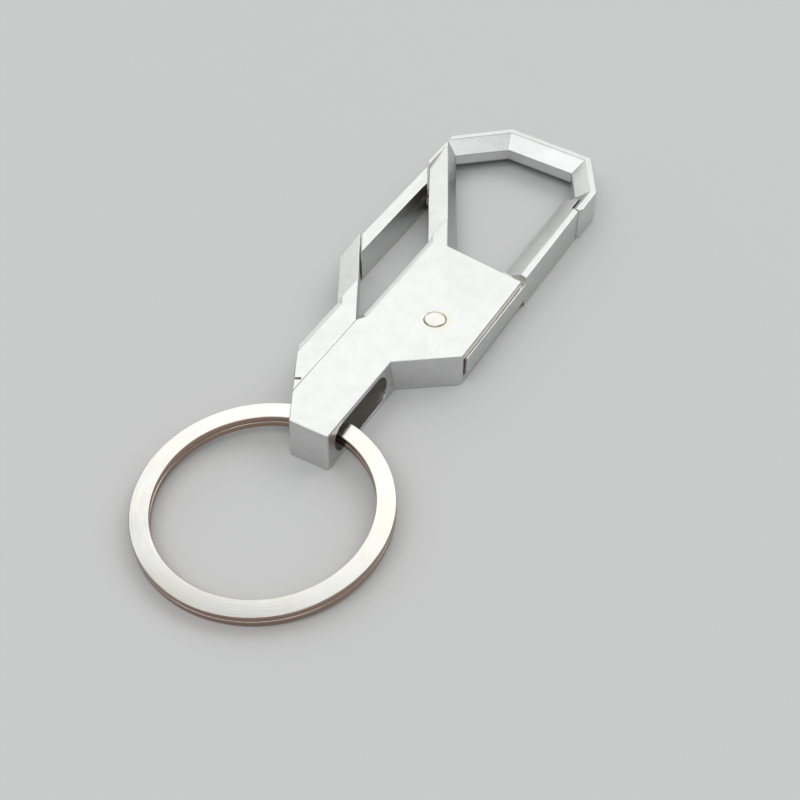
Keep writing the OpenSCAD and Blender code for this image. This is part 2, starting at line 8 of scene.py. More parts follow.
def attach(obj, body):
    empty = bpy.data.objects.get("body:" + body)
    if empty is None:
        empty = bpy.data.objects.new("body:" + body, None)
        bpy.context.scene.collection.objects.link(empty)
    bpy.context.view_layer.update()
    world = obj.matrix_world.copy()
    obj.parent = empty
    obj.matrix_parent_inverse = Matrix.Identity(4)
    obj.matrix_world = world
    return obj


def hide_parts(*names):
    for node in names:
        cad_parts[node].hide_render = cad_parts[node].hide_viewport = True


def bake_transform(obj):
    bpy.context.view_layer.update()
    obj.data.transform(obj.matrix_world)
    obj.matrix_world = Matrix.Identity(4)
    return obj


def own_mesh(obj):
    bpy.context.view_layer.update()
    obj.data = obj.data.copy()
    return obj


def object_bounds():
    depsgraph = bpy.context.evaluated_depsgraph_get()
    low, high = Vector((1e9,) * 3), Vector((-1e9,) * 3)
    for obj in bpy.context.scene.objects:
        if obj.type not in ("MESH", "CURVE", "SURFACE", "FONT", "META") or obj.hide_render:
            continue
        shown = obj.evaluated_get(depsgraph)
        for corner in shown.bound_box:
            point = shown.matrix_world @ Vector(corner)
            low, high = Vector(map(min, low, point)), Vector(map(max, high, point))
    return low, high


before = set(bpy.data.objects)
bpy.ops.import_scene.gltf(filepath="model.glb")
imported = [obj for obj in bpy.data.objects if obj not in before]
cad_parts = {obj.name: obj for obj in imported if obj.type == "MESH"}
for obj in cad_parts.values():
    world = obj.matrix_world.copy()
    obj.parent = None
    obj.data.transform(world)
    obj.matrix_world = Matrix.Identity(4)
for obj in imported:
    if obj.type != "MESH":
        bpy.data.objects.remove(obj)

cadBox = [list(corner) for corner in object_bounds()]
mm = 0.001
clipThick = 5.4
noiseLow, noiseHigh = 0.3, 0.7  # most of a noise texture lies between these
print("frame loaded:", len(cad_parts), "CAD nodes")


# short ways to write a node tree
def place(tree, kind, inputs=None, **settings):
    node = tree.nodes.new(kind)
    for key, value in settings.items():
        setattr(node, key, value)
    for key, value in (inputs or {}).items():
        if isinstance(value, bpy.types.NodeSocket):
            tree.links.new(value, node.inputs[key])
        else:
            node.inputs[key].default_value = value
    return node


def sums(tree, operation, first, second=0.0, clamp=False):
    node = place(tree, "ShaderNodeMath", {0: first, 1: second}, operation=operation, use_clamp=clamp)
    return node.outputs[0]


def spread(tree, value, low, high, outLow=0.0, outHigh=1.0):
    node = place(tree, "ShaderNodeMapRange", {
        "Value": value, "From Min": low, "From Max": high, "To Min": outLow, "To Max": outHigh})
    return node.outputs["Result"]


def blendColour(tree, share, first, second):
    node = place(tree, "ShaderNodeMix", {0: share, 6: first, 7: second}, data_type="RGBA")
    return node.outputs[2]


def layColours(tree, tone, *layers):
    # each colour goes over the last one by its mask and its share
    for mask, share, colour in layers:
        tone = blendColour(tree, sums(tree, "MULTIPLY", mask, share), tone, colour)
    return tone


def addShares(tree, total, *shares):
    # each mask is added by its own amount
    for mask, amount in shares:
        total = sums(tree, "ADD", total, sums(tree, "MULTIPLY", mask, amount))
    return total


def bumpNormal(tree, height, values):
    bump = place(tree, "ShaderNodeBump", {
        "Height": height, "Strength": values["bumpStrength"], "Distance": values["bumpDepth"]})
    return bump.outputs[0]


def newEffect(name, inputs, outputs):
    tree = bpy.data.node_groups.new(name, "ShaderNodeTree")
    for label, value in inputs.items():
        kind = "NodeSocketVector" if isinstance(value, tuple) else "NodeSocketFloat"
        socket = tree.interface.new_socket(label, in_out="INPUT", socket_type=kind)
        socket.default_value = value
    for label in outputs:
        tree.interface.new_socket(label, in_out="OUTPUT", socket_type="NodeSocketFloat")
    return tree, tree.nodes.new("NodeGroupInput").outputs, tree.nodes.new("NodeGroupOutput").inputs


skinValues = {
    "inputs": {"Grain Scale": 9000.0, "Wave Scale": 700.0},
    "grainDetail": 3.0, "waveDetail": 2.0, "grainHeight": 0.35,
}


def castSkinEffect(values):
    # the fine grain and the soft waviness of a plated casting
    tree, take, give = newEffect("cast skin", values["inputs"], ["Height", "Grain", "Wave"])
    at = place(tree, "ShaderNodeTexCoord").outputs["Object"]
    grain = place(tree, "ShaderNodeTexNoise", {
        "Vector": at, "Scale": take["Grain Scale"], "Detail": values["grainDetail"]}).outputs["Fac"]
    wave = place(tree, "ShaderNodeTexNoise", {
        "Vector": at, "Scale": take["Wave Scale"], "Detail": values["waveDetail"]}).outputs["Fac"]
    tree.links.new(addShares(tree, wave, (grain, values["grainHeight"])), give["Height"])
    tree.links.new(grain, give["Grain"])
    tree.links.new(wave, give["Wave"])
    return tree


handlingValues = {
    "inputs": {"Smudge Scale": 140.0, "Scratch Scale": 2600.0},
    "smudgeDetail": 4.0, "smudgeTwist": 0.6, "smudgeLow": 0.42, "smudgeHigh": 0.68,
    "scratchLays": ((0.5, 0.022), (-0.9, 0.03)),  # the turn and the stretch of each
    "scratchDetail": 1.0, "scratchLow": 0.70, "scratchHigh": 0.76,
}


def handlingEffect(values):
    # faint smudges from fingers, and hairline scratches in two directions
    tree, take, give = newEffect("handling", values["inputs"], ["Smudge", "Scratch"])
    at = place(tree, "ShaderNodeTexCoord").outputs["Object"]
    smudge = place(tree, "ShaderNodeTexNoise", {
        "Vector": at, "Scale": take["Smudge Scale"],
        "Detail": values["smudgeDetail"], "Distortion": values["smudgeTwist"]}).outputs["Fac"]
    tree.links.new(spread(tree, smudge, values["smudgeLow"], values["smudgeHigh"]), give["Smudge"])
    marks = []
    for turn, stretch in values["scratchLays"]:
        turned = place(tree, "ShaderNodeMapping", {
            "Vector": at, "Rotation": (0.0, 0.0, turn), "Scale": (1.0, stretch, 1.0)})
        lines = place(tree, "ShaderNodeTexNoise", {
            "Vector": turned.outputs[0], "Scale": take["Scratch Scale"],
            "Detail": values["scratchDetail"]}).outputs["Fac"]
        marks.append(spread(tree, lines, values["scratchLow"], values["scratchHigh"]))
    tree.links.new(sums(tree, "ADD", marks[0], marks[1], clamp=True), give["Scratch"])
    return tree


rubHighlightValues = {
    "inputs": {"Radius": 0.3 * mm, "Gain": 4.0}, "samples": 6,
    "patchScale": 900.0, "patchDetail": 3.0, "patchLow": 0.3, "patchHigh": 0.6, "leastRub": 0.45,
}


def edgeRubEffect(values):
    # lighter edges: partly plating rubbed bright, partly a painted highlight along the rounded edges
    tree, take, give = newEffect("edge rub", values["inputs"], ["Rub"])
    at = place(tree, "ShaderNodeTexCoord").outputs["Object"]
    soft = place(tree, "ShaderNodeBevel", {"Radius": take["Radius"]}, samples=values["samples"])
    true = place(tree, "ShaderNodeNewGeometry")
    same = place(tree, "ShaderNodeVectorMath", {
        0: soft.outputs[0], 1: true.outputs["Normal"]}, operation="DOT_PRODUCT")
    off = sums(tree, "SUBTRACT", 1.0, same.outputs["Value"])
    patches = place(tree, "ShaderNodeTexNoise", {
        "Vector": at, "Scale": values["patchScale"], "Detail": values["patchDetail"]}).outputs["Fac"]
    patchy = spread(tree, patches, values["patchLow"], values["patchHigh"], values["leastRub"], 1.0)
    rubHighlight = sums(tree, "MULTIPLY", off, take["Gain"])
    tree.links.new(sums(tree, "MULTIPLY", rubHighlight, patchy, clamp=True), give["Rub"])
    return tree


recessValues = {
    "inputs": {"Distance": 3 * mm, "Open": 0.55, "Half Open": 0.8}, "samples": 8,
    "masks": (("Recess", 0.08, "Open"), ("Film Sheen", 0.3, "Half Open")),  # each from full to none
}


def recessEffect(name, ownOnly, values):
    # painted shade where the surface is enclosed, tinted as thin plating and old dirt, and half way in a
    # fainter painted film
    tree, take, give = newEffect(name, values["inputs"], ["Recess", "Film Sheen"])
    shade = place(tree, "ShaderNodeAmbientOcclusion", {"Distance": take["Distance"]},
                  samples=values["samples"], only_local=ownOnly)
    for label, full, none in values["masks"]:
        tree.links.new(spread(tree, shade.outputs["AO"], full, take[none], 1.0, 0.0), give[label])
    return tree


brushValues = {"inputs": {"Stretch": (1.0, 0.02, 1.0), "Scale": 6000.0}, "detail": 3.0, "sharpness": 0.6}


def brushEffect(values):
    # fine drawing or polishing lines, long in one direction
    tree, take, give = newEffect("brush lines", values["inputs"], ["Lines"])
    at = place(tree, "ShaderNodeTexCoord").outputs["Object"]
    drawn = place(tree, "ShaderNodeVectorMath", {0: at, 1: take["Stretch"]}, operation="MULTIPLY")
    lines = place(tree, "ShaderNodeTexNoise", {
        "Vector": drawn.outputs[0], "Scale": take["Scale"],
        "Detail": values["detail"], "Roughness": values["sharpness"]})
    tree.links.new(lines.outputs["Fac"], give["Lines"])
    return tree


effects = {
    "skin": castSkinEffect(skinValues),
    "handling": handlingEffect(handlingValues),
    "rubHighlight": edgeRubEffect(rubHighlightValues),
    "recess": recessEffect("recess", False, recessValues),
    "cavity": recessEffect("cavity", True, recessValues),  # only the piece's own walls close it
    "brush": brushEffect(brushValues),
}
print("shared effects built:", ", ".join(effects))


def useEffect(tree, name, inputs):
    return place(tree, "ShaderNodeGroup", inputs, node_tree=effects[name]).outputs


def newFinish(name):
    material = bpy.data.materials.new(name)
    material.use_nodes = True
    tree = material.node_tree
    tree.nodes.clear()
    shader = place(tree, "ShaderNodeBsdfPrincipled", {"Metallic": 1.0})
    out = place(tree, "ShaderNodeOutputMaterial")
    tree.links.new(shader.outputs[0], out.inputs["Surface"])
    return material, tree, shader.inputs


def skinAndHandling(tree, values):
    skin = useEffect(tree, "skin", {"Grain Scale": values["grainScale"], "Wave Scale": values["waveScale"]})
    return skin, useEffect(tree, "handling", {"Smudge Scale": values["smudgeScale"]})


def cloudedTone(tree, wave, values):
    share = spread(tree, wave, values["cloudLow"], values["cloudHigh"])
    return blendColour(tree, share, values["colour"], values["cloudColour"])


def grainedRough(tree, grain, values):
    return spread(tree, grain, noiseLow, noiseHigh, values["roughLow"], values["roughHigh"])


def rivetWarmth(tree, grain, values):
    # a warm tone round the rivet head, more to one side
    at = place(tree, "ShaderNodeTexCoord").outputs["Object"]
    shifted = place(tree, "ShaderNodeVectorMath", {
        0: at, 1: values["warmthShift"]}, operation="SUBTRACT").outputs[0]
    flat = place(tree, "ShaderNodeVectorMath", {
        0: shifted, 1: (1.0, 1.0, 0.0)}, operation="MULTIPLY").outputs[0]
    away = place(tree, "ShaderNodeVectorMath", {0: flat}, operation="LENGTH").outputs["Value"]
    fade = spread(tree, away, values["warmthInner"], values["warmthOuter"], 1.0, 0.0)
    patchy = spread(tree, grain, noiseLow, noiseHigh, values["warmthLeast"], 1.0)
    return sums(tree, "MULTIPLY", fade, patchy, clamp=True)


def platedCasting(name, values):
    material, tree, shader = newFinish(name)
    skin, handled = skinAndHandling(tree, values)
    rubHighlight = useEffect(tree, "rubHighlight", {"Radius": values["rubHighlightRadius"]})["Rub"]
    enclosed = useEffect(tree, values["recessEffect"], {"Distance": values["recessDepth"]})
    recess = enclosed["Recess"]
    brush = useEffect(tree, "brush", {
        "Stretch": values["brushStretch"], "Scale": values["brushScale"]})["Lines"]

    tone = cloudedTone(tree, skin["Wave"], values)
    tone = blendColour(tree, rivetWarmth(tree, skin["Grain"], values), tone, values["warmthColour"])
    # painted shade in the hollows and a painted film half way in go over the tone
    tone = layColours(
        tree, tone, (rubHighlight, values["rubHighlightShare"], values["rubHighlightColour"]),
        (enclosed["Film Sheen"], values["filmSheenShare"], values["filmSheenColour"]),
        (recess, values["recessShare"], values["recessColour"]))
    tree.links.new(tone, shader["Base Color"])
    tree.links.new(spread(tree, recess, 0.0, 1.0, 1.0, values["recessMetal"]), shader["Metallic"])

    brushed = spread(tree, brush, noiseLow, noiseHigh, -values["brushRough"], values["brushRough"])
    rough = sums(tree, "ADD", grainedRough(tree, skin["Grain"], values), brushed)
    rough = addShares(
        tree, rough, (handled["Smudge"], values["smudgeRough"]),
        (handled["Scratch"], values["scratchRough"]), (rubHighlight, -values["rubPolish"]))
    dirty = sums(tree, "MULTIPLY", recess, values["recessRough"])
    tree.links.new(sums(tree, "ADD", rough, dirty, clamp=True), shader["Roughness"])

    height = addShares(
        tree, skin["Height"], (brush, values["brushHeight"]), (handled["Scratch"], -values["scratchDepth"]))
    tree.links.new(bumpNormal(tree, height, values), shader["Normal"])
    return material


castingFinish = {
    "warmthColour": (0.67, 0.635, 0.46, 1.0), "warmthShift": (0.25 * mm, -0.15 * mm, 0.0),
    "warmthInner": 1.6 * mm, "warmthOuter": 2.3 * mm, "warmthLeast": 0.5,
    "colour": (0.66, 0.664, 0.658, 1.0), "cloudColour": (0.63, 0.636, 0.63, 1.0),
    "cloudLow": 0.35, "cloudHigh": 0.65,
    # the lighter edges are partly rubbed plating and partly painted highlight
    "rubHighlightColour": (0.82, 0.82, 0.80, 1.0), "rubHighlightShare": 0.7, "rubHighlightRadius": 0.3 * mm, "rubPolish": 0.07,
    # painted shade in the hollows, tinted as thin plating and dirt, and half way in a faint warm darker
    # film of dirt and painted shade
    "recessEffect": "cavity", "recessColour": (0.46, 0.37, 0.25, 1.0), "recessShare": 0.95,
    "recessDepth": 7 * mm, "recessRough": 0.15, "recessMetal": 0.2,
    "filmSheenColour": (0.62, 0.59, 0.52, 1.0), "filmSheenShare": 0.3,
    "grainScale": 9000.0, "waveScale": 600.0, "roughLow": 0.25, "roughHigh": 0.33,
    "smudgeScale": 150.0, "smudgeRough": 0.035, "scratchRough": 0.05, "scratchDepth": 0.3,
    "brushStretch": (1.0, 0.03, 1.0), "brushScale": 5000.0, "brushRough": 0.02, "brushHeight": 0.15,
    "bumpStrength": 0.25, "bumpDepth": 0.02 * mm,
}
gateFinish = dict(castingFinish, **{
    "warmthOuter": 1.7 * mm,
    # the gate's hollows also take painted shade from the hook's walls around it, and its film sheen is a
    # cream painted highlight along the tongue's ledge
    "recessEffect": "recess", "recessColour": (0.36, 0.31, 0.23, 1.0), "recessMetal": 0.6,
    "recessDepth": 1.3 * mm, "filmSheenColour": (0.80, 0.74, 0.62, 1.0), "filmSheenShare": 0.9,
    "colour": (0.65, 0.659, 0.65, 1.0), "cloudColour": (0.615, 0.63, 0.62, 1.0),
    "brushStretch": (1.0, 0.015, 1.0), "brushScale": 7000.0, "brushRough": 0.05, "brushHeight": 0.9,
    "roughLow": 0.24, "roughHigh": 0.32,
})


def ringNickel(name, values):
    material, tree, shader = newFinish(name)
    skin, handled = skinAndHandling(tree, values)
    along = place(tree, "ShaderNodeAttribute", attribute_name="wireAlong").outputs["Fac"]
    side = place(tree, "ShaderNodeAttribute", attribute_name="wireSide").outputs["Fac"]
    across = place(tree, "ShaderNodeAttribute", attribute_name="wireAcross").outputs["Fac"]
    # the drawing lines run along the wire, so they are laid out in its own two directions
    laid = place(tree, "ShaderNodeCombineXYZ", {
        "X": sums(tree, "MULTIPLY", along, values["lineLong"]),
        "Y": sums(tree, "MULTIPLY", across, values["lineFine"]), "Z": side}).outputs[0]
    lines = place(tree, "ShaderNodeTexNoise", {
        "Vector": laid, "Scale": 1.0, "Detail": values["lineDetail"]}).outputs["Fac"]
    tone = cloudedTone(tree, skin["Wave"], values)
    # the wire's narrow sides are painted dark brown as shade
    tone = layColours(tree, tone, (side, values["sideShadeShare"], values["sideShadeColour"]))
    tree.links.new(tone, shader["Base Color"])
    rough = addShares(
        tree, grainedRough(tree, lines, values),
        (handled["Smudge"], values["smudgeRough"]), (handled["Scratch"], values["scratchRough"]))
    tree.links.new(rough, shader["Roughness"])
    height = addShares(tree, lines, (skin["Wave"], values["waveHeight"]))
    tree.links.new(bumpNormal(tree, height, values), shader["Normal"])
    return material


ringFinish = {
    "colour": (0.69, 0.69, 0.68, 1.0), "cloudColour": (0.68, 0.67, 0.61, 1.0),
    "cloudLow": 0.35, "cloudHigh": 0.7,
    # painted shade on the narrow sides
    "sideShadeColour": (0.34, 0.20, 0.13, 1.0), "sideShadeShare": 0.85,
    "grainScale": 7000.0, "waveScale": 160.0, "waveHeight": 1.2, "smudgeScale": 130.0,
    "lineLong": 260.0, "lineFine": 9.0, "lineDetail": 4.0, "roughLow": 0.13, "roughHigh": 0.21,
    "smudgeRough": 0.04, "scratchRough": 0.08, "bumpStrength": 0.2, "bumpDepth": 0.02 * mm,
}


def turnedSteel(name, values):
    # turned or drawn steel: rings round the piece's own axis, and a warm painted shade in its corners
    material, tree, shader = newFinish(name)
    skin, handled = skinAndHandling(tree, values)
    recess = useEffect(tree, "recess", {"Distance": values["recessDepth"]})["Recess"]
    ring = place(tree, "ShaderNodeAttribute", attribute_name="lathe").outputs["Fac"]
    rings = place(tree, "ShaderNodeTexNoise", {
        "W": sums(tree, "MULTIPLY", ring, values["ringScale"]), "Scale": 1.0,
        "Detail": values["ringDetail"]}, noise_dimensions="1D").outputs["Fac"]
    tone = cloudedTone(tree, skin["Wave"], values)
    tone = layColours(tree, tone, (recess, values["recessShare"], values["recessColour"]))
    tree.links.new(tone, shader["Base Color"])
    rough = addShares(tree, grainedRough(tree, rings, values), (handled["Smudge"], values["smudgeRough"]))
    tree.links.new(rough, shader["Roughness"])
    height = addShares(tree, rings, (skin["Height"], values["grainHeight"]))
    tree.links.new(bumpNormal(tree, height, values), shader["Normal"])
    return material


rivetFinish = {
    "colour": (0.665, 0.655, 0.63, 1.0), "cloudColour": (0.635, 0.62, 0.59, 1.0),
    "cloudLow": 0.35, "cloudHigh": 0.7,
    # painted shade, warm and dark, in the corners
    "recessColour": (0.34, 0.27, 0.15, 1.0), "recessShare": 0.8, "recessDepth": 0.4 * mm,
    "grainScale": 9000.0, "waveScale": 900.0, "smudgeScale": 400.0, "grainHeight": 0.4,
    "ringScale": 14000.0, "ringDetail": 3.0, "roughLow": 0.2, "roughHigh": 0.3, "smudgeRough": 0.03,
    "bumpStrength": 0.25, "bumpDepth": 0.015 * mm,
}
pinFinish = dict(rivetFinish, **{
    "colour": (0.62, 0.61, 0.59, 1.0), "cloudColour": (0.55, 0.54, 0.52, 1.0), "ringScale": 9000.0,
    "roughLow": 0.26, "roughHigh": 0.4,
})
springFinish = dict(rivetFinish, **{
    "colour": (0.60, 0.59, 0.57, 1.0), "cloudColour": (0.50, 0.49, 0.47, 1.0), "ringScale": 5000.0,
    "roughLow": 0.22, "roughHigh": 0.34,
})

finishes = {
    "casting": platedCasting("satin plated casting", castingFinish),
    "gate_casting": platedCasting("brushed plated gate", gateFinish),
    "ring": ringNickel("ring nickel", ringFinish),
    "rivet": turnedSteel("rivet nickel", rivetFinish),
    "pin": turnedSteel("pin steel", pinFinish),
    "spring": turnedSteel("spring steel", springFinish),
}
print("finishes built:", len(finishes))


def settle(name, mesh, node, body, slot):
    piece = bpy.data.objects.new(name, mesh)
    bpy.context.scene.collection.objects.link(piece)
    mesh.materials.append(finishes[slot])
    if body:
        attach(piece, body)
    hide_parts(node)
    return piece


# how the castings' edges are found and rounded, in millimetres, degrees and shares
edgeRules = {
    "weld": 0.0001, "weldEnds": 0.001, "flatWithin": 0.4, "seamWithin": 0.1,
    "sameSpot": 0.02, "sameRim": 0.01, "uprightShare": 0.8, "wallSteep": 0.3, "sameWall": 0.94,
}
stripSlot = 1  # the rounded strips carry this material number until their normals are laid


def roundEdges(name, mesh, widest, steps):
    # rounds the weighted edges, and the new strips come back with the strip slot's number
    carrier = bpy.data.objects.new(name, mesh)
    bpy.context.scene.collection.objects.link(carrier)
    for _ in range(stripSlot + 1):
        mesh.materials.append(None)
    soft = carrier.modifiers.new("soft edges", "BEVEL")
    soft.limit_method = "WEIGHT"
    soft.width = widest * mm
    soft.segments = steps
    soft.material = stripSlot
    soft.use_clamp_overlap = False
    soft.miter_outer = "MITER_ARC"
    rounded = bpy.data.meshes.new_from_object(carrier.evaluated_get(bpy.context.evaluated_depsgraph_get()))
    bpy.data.objects.remove(carrier)
    return rounded


def layNormals(mesh):
    # flat faces stay flat, bored walls run smooth, and each strip turns from one face to the next
    own = [Vector(face.normal) for face in mesh.polygons]
    size = [face.area for face in mesh.polygons]
    strip = [face.material_index == stripSlot for face in mesh.polygons]
    meeting = [[] for _ in mesh.vertices]
    for face in mesh.polygons:
        for v in face.vertices:
            meeting[v].append(face.index)

    def isWall(i):
        return abs(own[i].z) < edgeRules["wallSteep"]

    def wallNormal(i, flats):
        if not isWall(i):
            return own[i]
        near = [j for j in flats if own[j].dot(own[i]) > edgeRules["sameWall"] and isWall(j)]
        return sum((own[j] * (size[j] / size[i]) ** 2 for j in near), Vector())

    normals = [None] * len(mesh.loops)
    for face in mesh.polygons:
        for loop, v in zip(face.loop_indices, face.vertices):
            flats = [j for j in meeting[v] if not strip[j]]
            if not strip[face.index]:
                normal = wallNormal(face.index, flats)
            elif flats:
                normal = wallNormal(max(flats, key=lambda j: own[j].dot(own[face.index])), flats)
            else:
                normal = sum((own[j] for j in meeting[v]), Vector())
            normals[loop] = normal.normalized()
    for face in mesh.polygons:
        face.material_index = 0
    mesh.materials.clear()
    mesh.shade_smooth()
    mesh.normals_split_custom_set(normals)


def isAt(vert, x, y):
    return math.dist((x, y), vert.co.xy / mm) < edgeRules["sameSpot"]


def easeEnds(bm, ends):
    # the soft slopes run out along their edge instead of stopping at a square wall
    for x, y, depth, shift in ends:
        for vert in [v for v in bm.verts if isAt(v, x, y)]:
            under = min(vert.co.z / mm, clipThick - vert.co.z / mm)
            if abs(under - depth) < edgeRules["sameSpot"]:
                vert.co += Vector((*shift, 0.0)) * mm
    bmesh.ops.remove_doubles(bm, verts=bm.verts, dist=edgeRules["weldEnds"] * mm)


def moveBridge(bm, trouble, fresh):
    # a flat face with the rivet's hole is two polygons, and their seam must end on a plain corner
    seamAngle = math.radians(edgeRules["seamWithin"])
    seams = [edge for edge in bm.edges
             if edge.calc_face_angle(1.0) < seamAngle and any(isAt(v, *trouble) for v in edge.verts)]
    for seam in seams:
        face = next(f for f in seam.link_faces if any(isAt(v, *fresh) for v in f.verts))
        corner = next(v for v in face.verts if isAt(v, *fresh))
        hub = next(v for v in seam.verts if not isAt(v, *trouble))
        rim = [v for v in face.verts
               if abs(v.co.xy.length - hub.co.xy.length) < edgeRules["sameRim"] * mm]
        bmesh.utils.face_split(face, corner, min(rim, key=lambda v: (v.co - corner.co).length))
        bmesh.ops.dissolve_edges(bm, edges=[seam], use_verts=False)


def edgeWidth(edge, values):
    bend = edge.calc_face_angle(0.0)
    rise = abs(edge.verts[0].co.z - edge.verts[1].co.z)
    upright = rise > edgeRules["uprightShare"] * edge.calc_length()
    middle = (edge.verts[0].co + edge.verts[1].co) / 2 / mm
    if bend >= math.radians(values["sharpFrom"]):
        width = values["edge"] if edge.is_convex else values["foot"]
    elif upright or bend < math.radians(values["creaseFrom"]):
        width = 0.0  # a step round a bored wall has no strip
    else:
        width = values["crease"]  # a shallow crease between facets has a narrow one
    for low, high, inner in values.get("inside", []):
        if all(low[i] <= middle[i] <= high[i] for i in range(3)):
            width = min(width, inner)
    for centre, reach, corner in values.get("corners", []):
        if upright and math.dist(centre, middle[:2]) < reach:
            width = corner
    return width


def castPiece(name, node, body, slot, values):
    # the CAD solid's own faces, with its edges rounded as a casting's are
    bm = bmesh.new()
    bm.from_mesh(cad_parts[node].data)
    bmesh.ops.remove_doubles(bm, verts=bm.verts, dist=edgeRules["weld"] * mm)
    flatAngle = math.radians(edgeRules["flatWithin"])
    bmesh.ops.dissolve_limit(bm, angle_limit=flatAngle, verts=bm.verts, edges=bm.edges)
    easeEnds(bm, values.get("ends", []))
    for trouble, fresh in values.get("bridges", []):
        moveBridge(bm, trouble, fresh)
    weights = bm.edges.layers.float.new("bevel_weight_edge")
    widest = max([values["edge"]] + [corner[2] for corner in values.get("corners", [])])
    for edge in bm.edges:
        edge[weights] = edgeWidth(edge, values) / widest
    mesh = bpy.data.meshes.new(name)
    bm.to_mesh(mesh)
    bm.free()
    rounded = roundEdges(name, mesh, widest, values["steps"])
    layNormals(rounded)
    return settle(name, rounded, node, body, slot)


# widths and places in millimetres, and angles in degrees:
# ends are a corner's x and y, its depth below the nearer face and its shift;
# bridges are a seam's old and new corner; corners are a centre, its reach and a width;
# inside are a box's low and high corner and the widest edge in it
hookValues = {
    "edge": 0.16, "crease": 0.10, "foot": 0.05, "steps": 3, "sharpFrom": 22, "creaseFrom": 3,
    "ends": [(-9.4, 14.8, 0.0, (0, 1.6)), (-8.5, -5.5, 0.0, (0, 1.4)), (-9.4, -5.5, 0.4, (0, 1.4))],
    "bridges": [((-8.5, 14.8), (6.8, 13.3))],
    "corners": [((-1.0, -26.6), 1.3, 0.42), ((6.8, -4.8), 1.0, 0.4)],
    "inside": [
        ((-9.4, -22.0, -0.1), (-9.2, 0.0, 5.5), 0.06),  # beside the side arm's seam
        ((-9.0, -6.0, 1.0), (6.5, 16.0, 4.4), 0.0),  # in the gate's pocket
        ((-1.4, -25.4, 0.5), (-0.3, -11.5, 4.9), 0.06),  # the ring slot's right mouth
        ((-9.6, -25.6, 0.5), (-6.6, -11.4, 4.9), 0.05),  # and its left one
        ((-19.0, 32.0, 4.5), (-18.4, 41.0, 5.6), 0.04),  # the crest over the limb, both faces
        ((-19.0, 32.0, -0.2), (-18.4, 41.0, 0.9), 0.04),
    ],
}
gateValues = {
    "edge": 0.13, "crease": 0.08, "foot": 0.04, "steps": 3, "sharpFrom": 22, "creaseFrom": 3,
    "inside": [((6.9, -4.0, 1.1), (7.3, 14.3, 4.3), 0.04)],  # the tongue's thin ledges
}
armValues = {
    "edge": 0.14, "crease": 0.10, "foot": 0.04, "steps": 3, "sharpFrom": 22, "creaseFrom": 3,
    "ends": [
        (-13.83, -3.6, 0.0, (0, 1.4)), (-12.93, -13.5, 0.0, (0, -1.6623)),
        (-13.83, -13.5, 0.0, (0.9, -1.6623)),
    ],
    "inside": [
        ((-9.6, -22.0, -0.1), (-9.3, 0.0, 5.5), 0.06),  # beside the seam
        ((-10.75, -19.8, -0.1), (-9.5, -18.8, 5.5), 0.0),  # in the nick
    ],
}
barValues = {"edge": 0.12, "crease": 0.08, "foot": 0.04, "steps": 3, "sharpFrom": 22, "creaseFrom": 3}

castPiece("hookCasting", "hook_body", "body", "casting", hookValues)
castPiece("sideArmCasting", "side_arm", "body", "casting", armValues)
castPiece("mainGateCasting", "main_gate", "main_gate", "gate_casting", gateValues)
castPiece("sideGateCasting", "side_gate", "side_gate", "gate_casting", barValues)
print("castings rounded")


# meshes made from rings of points, one ring after the other
smoothBelow = math.radians(50)


def sleeve(rings, sides):
    faces = []
    for i in range(rings - 1):
        for k in range(sides):
            a, b = i * sides + k, i * sides + (k + 1) % sides
            faces.append((a, b, b + sides, a + sides))
    return faces


def cutEnds(rings, sides):
    last = (rings - 1) * sides
    return [tuple(reversed(range(sides))), tuple(range(last, last + sides))]


def newMesh(name, points, faces, marks):
    mesh = bpy.data.meshes.new(name)
    mesh.from_pydata(points, [], faces)
    mesh.shade_smooth()
    mesh.set_sharp_from_angle(angle=smoothBelow)
    for label, values in marks.items():
        layer = mesh.attributes.new(label, "FLOAT", "POINT")
        layer.data.foreach_set("value", values)
    return mesh


def lathePiece(name, node, slot, centre, profile, around=72):
    # turns a profile of (radius, height) in millimetres round an upright axis
    points, marks = [], []
    for radius, height in profile:
        for k in range(around):
            turn = math.tau * k / around
            points.append(Vector((
                centre[0] + radius * math.cos(turn), centre[1] + radius * math.sin(turn), height)) * mm)
            marks.append((radius + height) * mm)
    faces = sleeve(len(profile), around)
    low, high = len(points), len(points) + 1
    for radius, height in (profile[0], profile[-1]):
        points.append(Vector((*centre, height)) * mm)
        marks.append(height * mm)
    last = (len(profile) - 1) * around
    for k in range(around):
        after = (k + 1) % around
        faces.append((low, after, k))
        faces.append((high, last + k, last + after))
    return settle(name, newMesh(name, points, faces, {"lathe": marks}), node, "body", slot)


profileTip = 0.01  # radius of the tiny flat where a profile meets its axis

rivet = {
    "headRadius": 1.525, "shankRadius": 1.2, "headThick": 0.5, "proud": 0.12,
    "round": 0.2, "roundSteps": 4, "dome": 0.02, "domeSteps": 6,
}


def rivetProfile(values):
    head, shank, edge = values["headRadius"], values["shankRadius"], values["round"]
    top = clipThick + values["proud"]
    turns = [math.pi / 2 * k / values["roundSteps"] for k in range(values["roundSteps"] + 1)]
    profile = [(profileTip, 0.0), (head - edge, 0.0)]
    for turn in turns[1:]:
        profile.append((head - edge + edge * math.sin(turn), edge - edge * math.cos(turn)))
    profile += [(head, values["headThick"]), (shank, values["headThick"])]
    profile += [(shank, clipThick - values["headThick"]), (head, clipThick - values["headThick"])]
    rim = top - edge - values["dome"]
    for turn in turns:
        profile.append((head - edge + edge * math.cos(turn), rim + edge * math.sin(turn)))
    for k in range(1, values["domeSteps"]):
        share = 1 - k / values["domeSteps"]
        profile.append(((head - edge) * share, top - values["dome"] * share * share))
    return profile


lathePiece("gateRivet", "gate_rivet", "rivet", (0, 0), rivetProfile(rivet))

